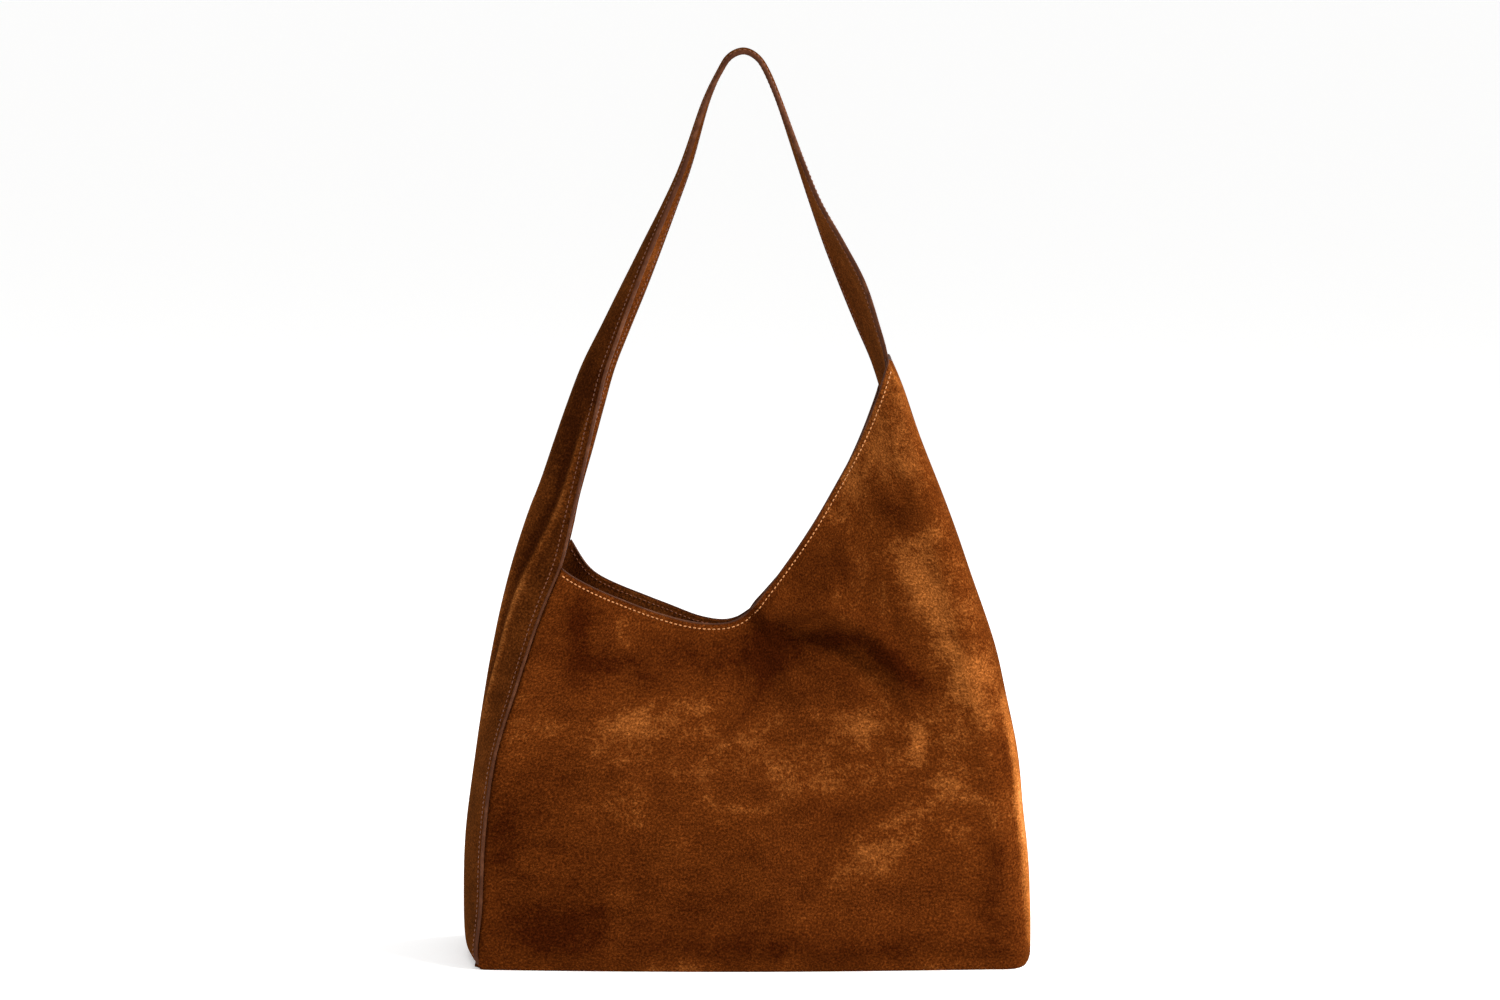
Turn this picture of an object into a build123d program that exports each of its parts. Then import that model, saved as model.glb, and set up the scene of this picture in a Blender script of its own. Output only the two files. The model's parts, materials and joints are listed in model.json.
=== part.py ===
"""Hobo bag: a slouchy suede sack whose left side strip runs on as the shoulder strap.

Frame: millimetres, +Z up, the front faces -Y, origin at the middle of the base on the floor.
"""

from build123d import *
from math import asin, cos, hypot, pi, sin
import os

# Sheet thicknesses and the clearance between two layers.
SUEDE = 1.6
LINING = 0.6
CORE = 0.7
LAYER_GAP = 0.25
CLEARANCE = 0.4

# The panels' layers stop short of the side strip's folded-in layers by this much.
SEAM_ALLOWANCE = 4.4

# The sack, as rows of its outline at rising heights. Each row holds the height, then for the
# left end (the side strip) and the right end (the soft fold): the outermost x, how far the end
# bulges past its front and back corners, and the half depth at those corners.
OUTLINE = [
    (0.0, -194.0, 8.0, 54.0, 194.0, 24.0, 53.0),
    (12.0, -201.0, 10.0, 58.5, 201.0, 26.0, 57.0),
    (45.0, -202.0, 14.0, 58.5, 202.0, 28.0, 57.0),
    (95.0, -200.0, 14.5, 56.0, 199.0, 28.0, 54.0),
    (150.0, -193.0, 15.0, 52.0, 193.0, 28.0, 50.0),
    (200.0, -184.5, 22.0, 49.0, 182.5, 27.0, 46.0),
    (245.0, -175.5, 28.0, 46.0, 170.0, 25.0, 42.0),
    (285.0, -165.5, 34.0, 44.0, 156.0, 22.0, 40.0),
    (325.0, -152.0, 33.0, 42.5, 141.0, 20.0, 39.0),
    (370.0, -136.0, 29.0, 41.0, 124.0, 19.0, 38.0),
    (410.0, -121.0, 24.0, 40.0, 110.0, 18.0, 37.5),
    (450.0, -103.0, 19.0, 38.0, 96.0, 17.0, 37.0),
]
# The walls swell by BELLY near the floor, and the swell fades out over a height above.
BELLY = 7.0
BELLY_FADE_START_Z = 150.0
BELLY_FADE = 120.0

# Points along each line round the sack. The fold's half stops just short of the middle plane.
END_STEPS = 10
WALL_STEPS = 12
FOLD_TURN = 0.99 * pi / 2

# The magnetic snap pulls the two rims together near the middle of the mouth.
SNAP_Z = 228.0
SNAP_RADIUS = 9.0
SNAP_HALF_DEPTH = 6.6
SNAP_THICKNESS = 2.5
SNAP_GAP = 0.2
STUD_RADIUS = 3.6
STUD_HEIGHT = 1.0
CUP_DEPTH = 1.2
WASHER_RADIUS = 6.0
WASHER = 0.4
PRONG_HOLE_RADIUS = 1.6
RECESS = 0.8
SNAP_RIM_ROUNDING = 22.0
PINCH_START_Z = 140.0
PINCH_FULL_Z = 222.0

# The rim, seen from the front, from the left end of the mouth to the peak on the right.
RIM = [(-137, 290), (-120, 276), (-93, 261), (-60, 247), (-30, 239.5), (-6, 242),
       (12, 260), (40, 300), (62, 338), (80, 374), (92, 405), (99, 432)]
RIM_STEPS = 24
RIM_OVERRUN = 3.0
MOUTH_TOP = 470.0
FACING_DEPTH = 32.0

# The side strip's top, where the strap begins, and the foot of its facing.
GUSSET_TOP = 303.0
GUSSET_FACING_Z = 232.0

# The strap, left to right: at each station the place of its middle on the outer face, its flat
# width, how far its edges curl in, and the twist that turns its front edge outwards.
STRAP = [
    ((-163.0, 290.0), 122.0, 33.5, 0.0),
    ((-157.0, 312.0), 119.0, 31.5, 0.0),
    ((-146.0, 340.0), 112.0, 28.0, 0.0),
    ((-126.0, 397.0), 96.0, 21.0, 2.0),
    ((-101.0, 453.0), 82.0, 14.0, 4.0),
    ((-74.0, 509.0), 72.0, 9.0, 5.0),
    ((-47.0, 566.0), 65.0, 5.0, 4.0),
    ((-31.0, 608.0), 61.0, 3.0, 0.0),
    ((-20.0, 631.0), 60.0, 2.0, 0.0),
    ((-12.5, 641.0), 60.0, 2.0, 0.0),
    ((-1.0, 645.0), 60.0, 2.0, 0.0),
    ((9.0, 641.0), 60.0, 2.0, 0.0),
    ((16.0, 631.0), 60.0, 2.0, 0.0),
    ((26.0, 606.0), 60.0, 2.0, 0.0),
    ((41.0, 566.0), 60.0, 2.0, 3.0),
    ((63.5, 509.0), 60.0, 2.0, 10.0),
    ((74.5, 481.0), 60.0, 2.0, 13.0),
    ((85.0, 453.0), 60.0, 2.0, 11.0),
    ((93.0, 430.0), 60.0, 2.0, 6.0),
    ((100.5, 400.0), 60.0, 2.0, 1.0),
    ((105.5, 375.0), 60.0, 2.0, 0.0),
]
TAB_END_Z = 385.0
TAB_TOP_Z = 408.0
STRAP_TOP = 570.0

# The line that the strap swings about joins the places where it leaves the bag.
SWING_LEFT = (-124.0, 318.0)
SWING_RIGHT = (96.0, 418.0)
ROOT_LENGTH = 60.0
PART_GAP = 0.6

# Stiffener board, which stands in from the suede all round.
BOARD = 2.0
BOARD_MARGIN = 1.0

# Zipped pocket that hangs inside the back facing.
POCKET_Y = 11.0
POCKET_DEPTH = 8.0
POCKET_HALF_WIDTH = 62.0
POCKET_BOTTOM_Z = 92.0
POCKET_TOP_Z = 196.0
ZIP_Z = 178.0
TAPE_WIDTH = 12.0
TAPE = 0.5
TOOTH = 1.6
TOOTH_PITCH = 2.6
TOOTH_HALF_GAP = 0.7
ZIP_HALF_LENGTH = 56.0
SLIDER_LENGTH = 9.0
SLIDER_WIDTH = 7.0
SLIDER_PLATE = 0.9
SLIDER_REST_X = 50.0
WEDGE_LENGTH = 3.0
WEDGE_HALF_HEIGHT = 0.5
CROWN_HALF_LENGTH = 3.0
CROWN_HALF_WIDTH = 1.0
CROWN_HEIGHT = 2.4
CROWN_ARM = 1.2
CROWN_ROOF = 0.8
PULL_LENGTH = 22.0
PULL_BAR_RADIUS = 0.5
PULL_HALF_WIDTH = 2.6
PULL_BORDER = 1.2
PULL_GRIP = 8.0
STOP_HALF_LENGTH = 1.0
STOP_HALF_HEIGHT = 3.0
STOP_THICKNESS = 0.9
STOP_GAP = 0.1
STOP_OFFSET = 2.0

# Reach of cutting shapes, and what they run on past a face that they cut through.
FAR = 1000.0
THROUGH = 1.0
BASE = (Align.CENTER, Align.CENTER, Align.MIN)


def turned_out(solid):
    """The same solid with its faces pointing outwards."""
    return solid if solid.volume > 0 else Solid(solid.wrapped.Reversed())


def at_height(z):
    """The outline row at a height, straight between the given rows."""
    for low, high in zip(OUTLINE, OUTLINE[1:]):
        if z <= high[0]:
            share = (z - low[0]) / (high[0] - low[0])
            return [a + share * (b - a) for a, b in zip(low, high)]
    return list(OUTLINE[-1])


def smooth_step(value):
    """0 below 0, 1 above 1 and a smooth rise between."""
    share = min(max(value, 0.0), 1.0)
    return share * share * (3 - 2 * share)


def wall_depth(x, row):
    """Half depth of the sack's front wall at x, between its two corners."""
    z, left, left_bulge, left_half, right, right_bulge, right_half = row
    start, end = left + left_bulge, right - right_bulge
    share = (x - start) / (end - start)
    straight = left_half + share * (right_half - left_half)
    fade = smooth_step((z - BELLY_FADE_START_Z) / BELLY_FADE)
    full = straight + BELLY * sin(pi * share) * (1 - fade)
    corner = left_half if x < 0 else right_half
    reach = abs(start) if x < 0 else end
    pulled = SNAP_HALF_DEPTH + (corner - SNAP_HALF_DEPTH) * (
        (hypot(x, SNAP_RIM_ROUNDING) - SNAP_RIM_ROUNDING)
        / (hypot(reach, SNAP_RIM_ROUNDING) - SNAP_RIM_ROUNDING)
    )
    pinch = smooth_step((z - PINCH_START_Z) / (PINCH_FULL_Z - PINCH_START_Z))
    return full + pinch * (pulled - full)


def front_wall(row):
    """Points along the front wall at one level, from the side strip to the right fold."""
    _, left, left_bulge, _, right, right_bulge, _ = row
    first, end = left + left_bulge + SEAM_ALLOWANCE, right - right_bulge
    steps = [first + (end - first) * i / WALL_STEPS for i in range(WALL_STEPS + 1)]
    return [(x, -wall_depth(x, row)) for x in steps]


def right_fold(row):
    """Points round the front half of the right fold, ending just short of the middle plane."""
    *_, right, bulge, half = row
    turns = [FOLD_TURN * i / END_STEPS for i in range(1, END_STEPS + 1)]
    return [(right - bulge + bulge * sin(a), -half * cos(a)) for a in turns]


def front_line(row):
    """The front panel at one level: its wall and its half of the right fold."""
    return front_wall(row) + right_fold(row)


def back_line(row):
    """The back panel at one level, on from the front one."""
    return [(x, -y) for x, y in reversed(front_line(row))]


def panels_line(row):
    """Both panels at one level: front, right fold and back."""
    return front_line(row) + back_line(row)


def side_line(row):
    """The side strip at one level: an arc from the back corner to the front corner."""
    _, left, bulge, half, *_ = row
    radius = (half * half + bulge * bulge) / (2 * bulge)
    reach = asin(half / radius) if bulge < half else pi - asin(half / radius)
    turns = [reach * (1 - 2 * i / END_STEPS) for i in range(END_STEPS + 1)]
    return [(left + radius - radius * cos(a), radius * sin(a)) for a in turns]


def inset_line(points, inset):
    """The same line of points, each moved to its left, which is into the sack."""
    moved = []
    for i, (x, y) in enumerate(points):
        (x0, y0), (x1, y1) = points[max(i - 1, 0)], points[min(i + 1, len(points) - 1)]
        length = hypot(x1 - x0, y1 - y0)
        moved.append((x - (y1 - y0) / length * inset, y + (x1 - x0) / length * inset))
    return moved


def level_wire(line, row, outer, inner):
    """Closed outline of one sheet at one level, between two insets."""
    outer_points = [Vector(x, y, row[0]) for x, y in inset_line(line(row), outer)]
    inner_points = [Vector(x, y, row[0]) for x, y in inset_line(line(row), inner)]
    return Wire([
        Edge.make_spline(outer_points),
        Edge.make_line(outer_points[-1], inner_points[-1]),
        Edge.make_spline(inner_points[::-1]),
        Edge.make_line(inner_points[0], outer_points[0]),
    ])


def sheet(line, outer, thickness):
    """A sheet of the sack that follows a line round it, at an inset from its outer face."""
    wires = [level_wire(line, row, outer, outer + thickness) for row in OUTLINE]
    return turned_out(Solid.make_loft(wires))


def front_prism(points, half_depth=FAR):
    """A prism along Y over an outline given as (x, z) points."""
    face = Plane.XZ * make_face(Polyline(*points, close=True))
    return extrude(face, amount=half_depth, both=True)


def spline_points(points, count):
    """Evenly spread points on the smooth curve through the given ones."""
    curve = Spline(*points)
    return [tuple(curve @ (i / count))[:2] for i in range(count + 1)]


def lowered(points, drop):
    """A line of (x, z) points moved square to itself, down and away from the mouth."""
    moved = []
    for i, (x, z) in enumerate(points):
        (x0, z0), (x1, z1) = points[max(i - 1, 0)], points[min(i + 1, len(points) - 1)]
        length = hypot(x1 - x0, z1 - z0)
        moved.append((x + (z1 - z0) / length * drop, z - (x1 - x0) / length * drop))
    return moved


def mouth(drop=0.0):
    """Everything above the rim, or above a line that far below it."""
    line = lowered(spline_points(RIM, RIM_STEPS), drop)
    start_z, end_z = line[0][1], line[-1][1]
    corners = [(FAR, end_z), (FAR, MOUTH_TOP), (-FAR, MOUTH_TOP), (-FAR, start_z)]
    return front_prism(line + corners)


def rim_band(depth):
    """The strip between the rim and a line below it, running a little past the rim."""
    rim = spline_points(RIM, RIM_STEPS)
    return front_prism(lowered(rim, -RIM_OVERRUN) + lowered(rim, depth)[::-1]) - mouth()


def slab(low, high):
    """All space between two heights."""
    return Pos(0, 0, (low + high) / 2) * Box(2 * FAR, 2 * FAR, high - low)


def body_nodes():
    """Suede front and back panels, side strip and the facings inside the mouth."""
    inside = SUEDE + CLEARANCE
    band = rim_band(FACING_DEPTH)
    facing_depth = SNAP_HALF_DEPTH - inside
    recess = Pos(0, 0, SNAP_Z) * Rotation(90, 0, 0) * (
        Cylinder(WASHER_RADIUS + CLEARANCE, 2 * (facing_depth + THROUGH))
        - Cylinder(WASHER_RADIUS + THROUGH, 2 * (facing_depth - RECESS))
    )
    return {
        "front_panel": sheet(front_line, 0, SUEDE) - mouth(),
        "back_panel": sheet(back_line, 0, SUEDE) - mouth(),
        "side_gusset": sheet(side_line, 0, SUEDE) & slab(0, GUSSET_TOP),
        "front_facing": (sheet(front_line, inside, SUEDE) & band) - recess,
        "back_facing": (sheet(back_line, inside, SUEDE) & band) - recess,
        "gusset_facing": sheet(side_line, inside, SUEDE) & slab(GUSSET_FACING_Z, GUSSET_TOP),
    }


def lining_nodes():
    """Lining sack below the facings: front, back and side."""
    inside = SUEDE + CLEARANCE
    below = slab(SUEDE + BOARD + 2 * CLEARANCE, MOUTH_TOP) - mouth(FACING_DEPTH + CLEARANCE)
    side = slab(SUEDE + BOARD + 2 * CLEARANCE, GUSSET_FACING_Z - CLEARANCE)
    return {
        "lining_front": sheet(front_line, inside, LINING) & below,
        "lining_back": sheet(back_line, inside, LINING) & below,
        "lining_gusset": sheet(side_line, inside, LINING) & side,
    }


def plate(low, thickness, inset):
    """Flat sheet across the base, following the sack's outline at its lower face."""
    row = at_height(low)
    loop = [inset_line(line(row), inset) for line in (panels_line, side_line)]
    panels = [Vector(x, y, low) for x, y in loop[0]]
    side = [Vector(x, y, low) for x, y in loop[1]]
    side[0], side[-1] = panels[-1], panels[0]
    outline = Wire([Edge.make_spline(panels), Edge.make_spline(side)])
    return extrude(Face(outline), amount=thickness)


def base_nodes():
    """Suede base, stiffener board and lining floor."""
    inset = SUEDE + CLEARANCE
    board_z = SUEDE + CLEARANCE
    floor_z = board_z + BOARD + CLEARANCE
    return {
        "base_panel": plate(0, SUEDE, inset),
        "base_board": plate(board_z, BOARD, inset + BOARD_MARGIN),
        "base_lining": plate(floor_z, LINING, inset + LINING + CLEARANCE),
    }


def strap_frames():
    """Plane square to the strap at each station: its x runs across, its y points outwards."""
    places = [place for place, *_ in STRAP]
    frames = []
    for i, (x, z) in enumerate(places):
        (x0, z0), (x1, z1) = places[max(i - 1, 0)], places[min(i + 1, len(places) - 1)]
        along = Vector(x1 - x0, 0, z1 - z0).normalized()
        frame = Plane(origin=(x, 0, z), x_dir=(0, 1, 0), z_dir=tuple(along))
        frames.append(frame.rotated((0, 0, -STRAP[i][3])))
    return frames


def curl_wire(frame, width, sag, depth_outer, depth_inner):
    """One C-shaped section of a strap layer, between two depths below its outer face."""
    half_angle = 4 * sag / width
    radius = width / (2 * half_angle)
    centre = -radius

    def on_arc(depth, share):
        angle = half_angle * share
        r = radius - depth
        return frame.from_local_coords(Vector(r * sin(angle), centre + r * cos(angle)))

    outer = [on_arc(depth_outer, share) for share in (-1, 0, 1)]
    inner = [on_arc(depth_inner, share) for share in (1, 0, -1)]
    return Wire([
        Edge.make_three_point_arc(*outer),
        Edge.make_line(outer[2], inner[0]),
        Edge.make_three_point_arc(*inner),
        Edge.make_line(inner[2], outer[0]),
    ])


def strap_layer(depth_outer, depth_inner):
    """A strap layer over its whole length."""
    wires = [
        curl_wire(frame, width, sag, depth_outer, depth_inner)
        for frame, (_, width, sag, _) in zip(strap_frames(), STRAP)
    ]
    return turned_out(Solid.make_loft(wires, ruled=True))


def above_swing_line(height):
    """All space on the strap's side of the swing line, from a distance above it."""
    (x0, z0), (x1, z1) = SWING_LEFT, SWING_RIGHT
    length = hypot(x1 - x0, z1 - z0)
    along, up = ((x1 - x0) / length, (z1 - z0) / length), (-(z1 - z0) / length, (x1 - x0) / length)

    def at(run, rise):
        return (x0 + along[0] * run + up[0] * rise, z0 + along[1] * run + up[1] * rise)

    return front_prism([at(-FAR, height), at(FAR, height), at(FAR, FAR), at(-FAR, FAR)])


def strap_nodes():
    """The strap's layers above the swing line, its bending roots and its sewn end."""
    core_out = SUEDE + LAYER_GAP
    back_out = core_out + CORE + LAYER_GAP
    thickness = back_out + SUEDE
    upper = above_swing_line(ROOT_LENGTH)
    whole = strap_layer(0, thickness)
    below = whole - above_swing_line(ROOT_LENGTH - PART_GAP)
    left_half = Pos(-FAR / 2, 0, 0) * Box(FAR, 2 * FAR, 2 * FAR)
    return {
        "strap_outer": strap_layer(0, SUEDE) & upper,
        "strap_core": strap_layer(core_out, core_out + CORE) & upper,
        "strap_backing": strap_layer(back_out, thickness) & upper,
        "strap_root_left": (below & left_half) & slab(GUSSET_TOP + PART_GAP, MOUTH_TOP),
        "strap_root_right": (below - left_half) & slab(TAB_TOP_Z, STRAP_TOP),
        "strap_tab": (below - left_half) & slab(TAB_END_Z, TAB_TOP_Z - CLEARANCE),
    }


def snap_nodes():
    """Magnetic snap: a socket on the front facing, a stud on the back one, and washers."""
    half = Cylinder(SNAP_RADIUS, SNAP_THICKNESS, align=BASE)
    cup = Pos(0, 0, SNAP_THICKNESS - CUP_DEPTH) * Cylinder(
        STUD_RADIUS + CLEARANCE, CUP_DEPTH, align=BASE
    )
    knob = Pos(0, 0, SNAP_THICKNESS) * Cylinder(STUD_RADIUS, STUD_HEIGHT, align=BASE)
    washer = Cylinder(WASHER_RADIUS, WASHER) - Cylinder(PRONG_HOLE_RADIUS, WASHER)
    back = SNAP_THICKNESS + SNAP_GAP / 2
    behind = SNAP_HALF_DEPTH - SUEDE - CLEARANCE - RECESS / 2
    faces_back = Rotation(-90, 0, 0)
    faces_front = Rotation(90, 0, 0)
    return {
        "snap_socket": Pos(0, -back, SNAP_Z) * faces_back * (half - cup),
        "snap_stud": Pos(0, back, SNAP_Z) * faces_front * (half + knob),
        "snap_washer_front": Pos(0, -behind, SNAP_Z) * faces_back * washer,
        "snap_washer_back": Pos(0, behind, SNAP_Z) * faces_back * washer,
    }


def block(low, high):
    """A box between two corners."""
    size = [b - a for a, b in zip(low, high)]
    middle = [(a + b) / 2 for a, b in zip(low, high)]
    return Pos(*middle) * Box(*size)


def pocket_nodes():
    """The pocket's two cloths: a flat back and a shallow tray in front of it."""
    front_y = POCKET_Y - POCKET_DEPTH
    half = POCKET_HALF_WIDTH
    top = ZIP_Z - TAPE_WIDTH - CLEARANCE
    tray = block((-half, front_y, POCKET_BOTTOM_Z), (half, POCKET_Y - CLEARANCE, top))
    room = block(
        (-half + LINING, front_y + LINING, POCKET_BOTTOM_Z + LINING),
        (half - LINING, POCKET_Y, top + THROUGH),
    )
    return {
        "pocket_front": tray - room,
        "pocket_back": block(
            (-half, POCKET_Y, POCKET_BOTTOM_Z), (half, POCKET_Y + LINING, POCKET_TOP_Z)
        ),
    }


def zip_side(side):
    """One side of the zip, above (1) or below (-1) its line: the tape and its row of teeth."""
    y = POCKET_Y - POCKET_DEPTH
    inner = ZIP_Z + side * (TOOTH_HALF_GAP + TOOTH / 2)
    low, high = sorted((inner, ZIP_Z + side * TAPE_WIDTH))
    tape = block((-POCKET_HALF_WIDTH, y, low), (POCKET_HALF_WIDTH, y + TAPE, high))
    near, far = sorted((ZIP_Z + side * TOOTH_HALF_GAP, inner))
    count = int(2 * ZIP_HALF_LENGTH / TOOTH_PITCH)
    first = side * TOOTH_PITCH / 4 - ZIP_HALF_LENGTH
    teeth = []
    for i in range(1, count):
        x = first + i * TOOTH_PITCH
        tooth = block((x, y - TOOTH / 4, near), (x + TOOTH / 2, y + TOOTH / 2, far))
        teeth.append(tooth.solid())
    return tape, Compound(children=teeth)


def slider_and_pull():
    """The slider, two plates joined by a wedge with a crown on the front, and its hinged pull."""
    y = POCKET_Y - POCKET_DEPTH
    x, reach, wide = SLIDER_REST_X, SLIDER_LENGTH / 2, SLIDER_WIDTH / 2
    front = y - TOOTH / 4 - CLEARANCE
    back = y + TOOTH / 2 + CLEARANCE
    crown_y = front - SLIDER_PLATE
    slider = block((x - reach, crown_y, ZIP_Z - wide), (x + reach, front, ZIP_Z + wide))
    slider += block((x - reach, back, ZIP_Z - wide), (x + reach, back + SLIDER_PLATE, ZIP_Z + wide))
    slider += block(
        (x + reach - WEDGE_LENGTH, front, ZIP_Z - WEDGE_HALF_HEIGHT),
        (x + reach, back, ZIP_Z + WEDGE_HALF_HEIGHT),
    )
    slider += block(
        (x - CROWN_HALF_LENGTH, crown_y - CROWN_HEIGHT, ZIP_Z - CROWN_HALF_WIDTH),
        (x + CROWN_HALF_LENGTH, crown_y, ZIP_Z + CROWN_HALF_WIDTH),
    )
    eye = CROWN_HALF_LENGTH - CROWN_ARM
    slider -= block(
        (x - eye, crown_y - CROWN_HEIGHT + CROWN_ROOF, ZIP_Z - CROWN_HALF_WIDTH - THROUGH),
        (x + eye, crown_y, ZIP_Z + CROWN_HALF_WIDTH + THROUGH),
    )
    bar_y = crown_y - (CROWN_HEIGHT - CROWN_ROOF) / 2
    pull = block(
        (x - PULL_LENGTH, bar_y - PULL_BAR_RADIUS, ZIP_Z - PULL_HALF_WIDTH),
        (x, bar_y + PULL_BAR_RADIUS, ZIP_Z + PULL_HALF_WIDTH),
    )
    pull -= block(
        (x - PULL_LENGTH + PULL_GRIP, bar_y - THROUGH, ZIP_Z - PULL_HALF_WIDTH + PULL_BORDER),
        (x + THROUGH, bar_y + THROUGH, ZIP_Z + PULL_HALF_WIDTH - PULL_BORDER),
    )
    pull += Pos(x, bar_y, ZIP_Z) * Cylinder(PULL_BAR_RADIUS, 2 * PULL_HALF_WIDTH)
    return slider, pull


def zip_nodes():
    """Zip across the pocket's mouth: two tapes, two rows of teeth, slider, pull and stops."""
    nodes = {}
    for name, side in (("upper", 1), ("lower", -1)):
        nodes[f"zip_tape_{name}"], nodes[f"zip_teeth_{name}"] = zip_side(side)
    nodes["zip_slider"], nodes["zip_pull"] = slider_and_pull()
    y = POCKET_Y - POCKET_DEPTH - STOP_GAP
    stops = []
    for end in (-ZIP_HALF_LENGTH - STOP_OFFSET, ZIP_HALF_LENGTH + STOP_OFFSET):
        stop = block(
            (end - STOP_HALF_LENGTH, y - STOP_THICKNESS, ZIP_Z - STOP_HALF_HEIGHT),
            (end + STOP_HALF_LENGTH, y, ZIP_Z + STOP_HALF_HEIGHT),
        )
        stops.append(stop.solid())
    nodes["zip_stops"] = Compound(children=stops)
    return nodes


def main():
    """Build every node and write it to its own file."""
    os.makedirs("parts", exist_ok=True)
    nodes = {}
    makers = (body_nodes, lining_nodes, base_nodes, strap_nodes, snap_nodes, pocket_nodes, zip_nodes)
    for make in makers:
        nodes.update(make())
    for name, shape in nodes.items():
        export_step(shape, f"parts/{name}.step")


main()
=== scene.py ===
"""Looks of the hobo bag: suede panels, side strip and strap, facings, lining, thread and finishes.

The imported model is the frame. Shapes are worked out in millimetres and turn into metres in
new_object(). UVs, bump distances, lights and the camera are in metres.
"""

import json
import math

import bpy
import numpy as np
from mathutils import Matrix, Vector, noise


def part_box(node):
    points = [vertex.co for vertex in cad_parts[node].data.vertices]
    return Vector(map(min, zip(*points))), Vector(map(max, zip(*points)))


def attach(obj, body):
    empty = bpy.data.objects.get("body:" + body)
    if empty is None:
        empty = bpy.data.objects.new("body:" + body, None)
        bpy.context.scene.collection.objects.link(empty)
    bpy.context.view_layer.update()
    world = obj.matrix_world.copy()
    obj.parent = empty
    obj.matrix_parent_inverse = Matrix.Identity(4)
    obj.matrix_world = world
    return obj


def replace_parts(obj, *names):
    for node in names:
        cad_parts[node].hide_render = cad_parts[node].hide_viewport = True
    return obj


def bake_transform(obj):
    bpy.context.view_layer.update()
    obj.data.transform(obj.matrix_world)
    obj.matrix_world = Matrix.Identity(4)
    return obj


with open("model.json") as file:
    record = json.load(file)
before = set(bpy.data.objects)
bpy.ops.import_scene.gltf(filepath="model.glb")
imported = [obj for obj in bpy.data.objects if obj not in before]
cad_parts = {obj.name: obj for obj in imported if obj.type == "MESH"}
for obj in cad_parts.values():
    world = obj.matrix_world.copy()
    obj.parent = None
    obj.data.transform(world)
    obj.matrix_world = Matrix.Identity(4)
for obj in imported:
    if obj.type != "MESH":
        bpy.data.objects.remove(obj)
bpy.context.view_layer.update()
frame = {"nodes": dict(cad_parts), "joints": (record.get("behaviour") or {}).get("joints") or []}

MM = 0.001

# --- Shape of the sack
# Each row: height, then for the left end (side strip) and the right end (soft fold) the
# outermost x, how far the end bulges past its corners, and the half depth at the corners.
OUTLINE = np.array([
    (0, -198, 8, 56, 199.5, 25, 55),
    (4, -200.5, 9, 58, 201.3, 26, 56.5),
    (12, -201.5, 10, 58.5, 201.8, 26.5, 57),
    (45, -202, 14, 58.5, 202, 28, 57),
    (95, -200, 14.5, 56, 199, 28, 54),
    (150, -193, 15, 52, 193, 28, 50),
    (200, -184.5, 22, 49, 182.5, 27, 46),
    (245, -175.5, 28, 46, 170, 25, 42),
    (285, -165.5, 34, 44, 156, 22, 40),
    (325, -152, 33, 42.5, 141, 20, 39),
    (370, -136, 29, 41, 123.2, 19, 38),
    (410, -121, 24, 40, 109.2, 17.5, 36.5),
    (440, -107, 20, 39, 96.2, 15, 35),
    (470, -95, 18, 38, 81, 14, 34),
])
RIM = [(-137, 290), (-120, 276), (-93, 261), (-60, 247), (-30, 239.5), (-6, 242),
       (12, 260), (40, 300), (62, 338), (80, 374), (92, 405), (100.4, 432), (107, 452)]
PEAK_Z = 431.0
PEAK_DIP = 2.5
# Where the back rim stands higher than the front one: how much, x of the middle, half width.
BACK_RISES = [(3.5, -62.0, 34.0), (14.0, -131.0, 13.0)]
BACK_PEAK_DROP = 8.0

# How far the walls bulge outwards, the height where that starts to fade, and over what height.
BELLY = 7.0
BELLY_LOW = 70.0
BELLY_FADE = 165.0
# The magnetic snap pinches the walls together: more from one height up to the other.
SNAP_Z = 240.0
SNAP_HALF_DEPTH = 6.6
SNAP_ROUNDING = 22.0
PINCH_LOW = 98.0
PINCH_FULL = 226.0
LEAST_HALF_DEPTH = 4.4

# Thicknesses, the width that the side strip covers, and the gap between layers that are sewn.
SUEDE = 1.2
FACING = 1.0
CLOTH = 0.6
BAND = 2.6
SEWN_GAP = 0.15
FACING_DEPTH = 32.0
SEAM_TUCK = 1.6

# Seen from the front, the fold that runs up and round to the right from the snap.
PUCKER_CENTRE = (40.0, 174.0)
PUCKER_RADIUS = 69.0
PUCKER_WIDTH = 9.0
PUCKER_RIDGE = 6.5
PUCKER_HOLLOW = 7.5

WALL_COLUMNS = 150
FOLD_COLUMNS = 20
ROWS = 135
FACING_ROWS = 26


def catmull(points, count):
    """Evenly counted points on a smooth curve through the given rows."""
    rows = np.array(points, float)
    ends = np.vstack([2 * rows[0] - rows[1], rows, 2 * rows[-1] - rows[-2]])
    out = []
    for share in np.linspace(0, len(rows) - 1, count):
        i = min(int(share), len(rows) - 2)
        t = share - i
        a, b, c, d = ends[i : i + 4]
        out.append(0.5 * (2 * b + (c - a) * t + (2 * a - 5 * b + 4 * c - d) * t**2
                          + (3 * b - a - 3 * c + d) * t**3))
    return np.array(out)


LEVELS = catmull(OUTLINE, 600)
RIM_LINE = catmull(RIM, 400)
HEIGHTS = np.arange(0.0, 472.0)
LEVEL_ROWS = np.stack([np.interp(HEIGHTS, LEVELS[:, 0], LEVELS[:, k]) for k in range(7)], 1)


def level(z):
    """The outline row at a height, or the rows at several heights."""
    if np.ndim(z):
        return [np.interp(z, HEIGHTS, LEVEL_ROWS[:, k]) for k in range(7)]
    z = min(max(z, 0.0), HEIGHTS[-1] - 0.001)
    low = int(z)
    return LEVEL_ROWS[low] + (LEVEL_ROWS[low + 1] - LEVEL_ROWS[low]) * (z - low)


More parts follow.
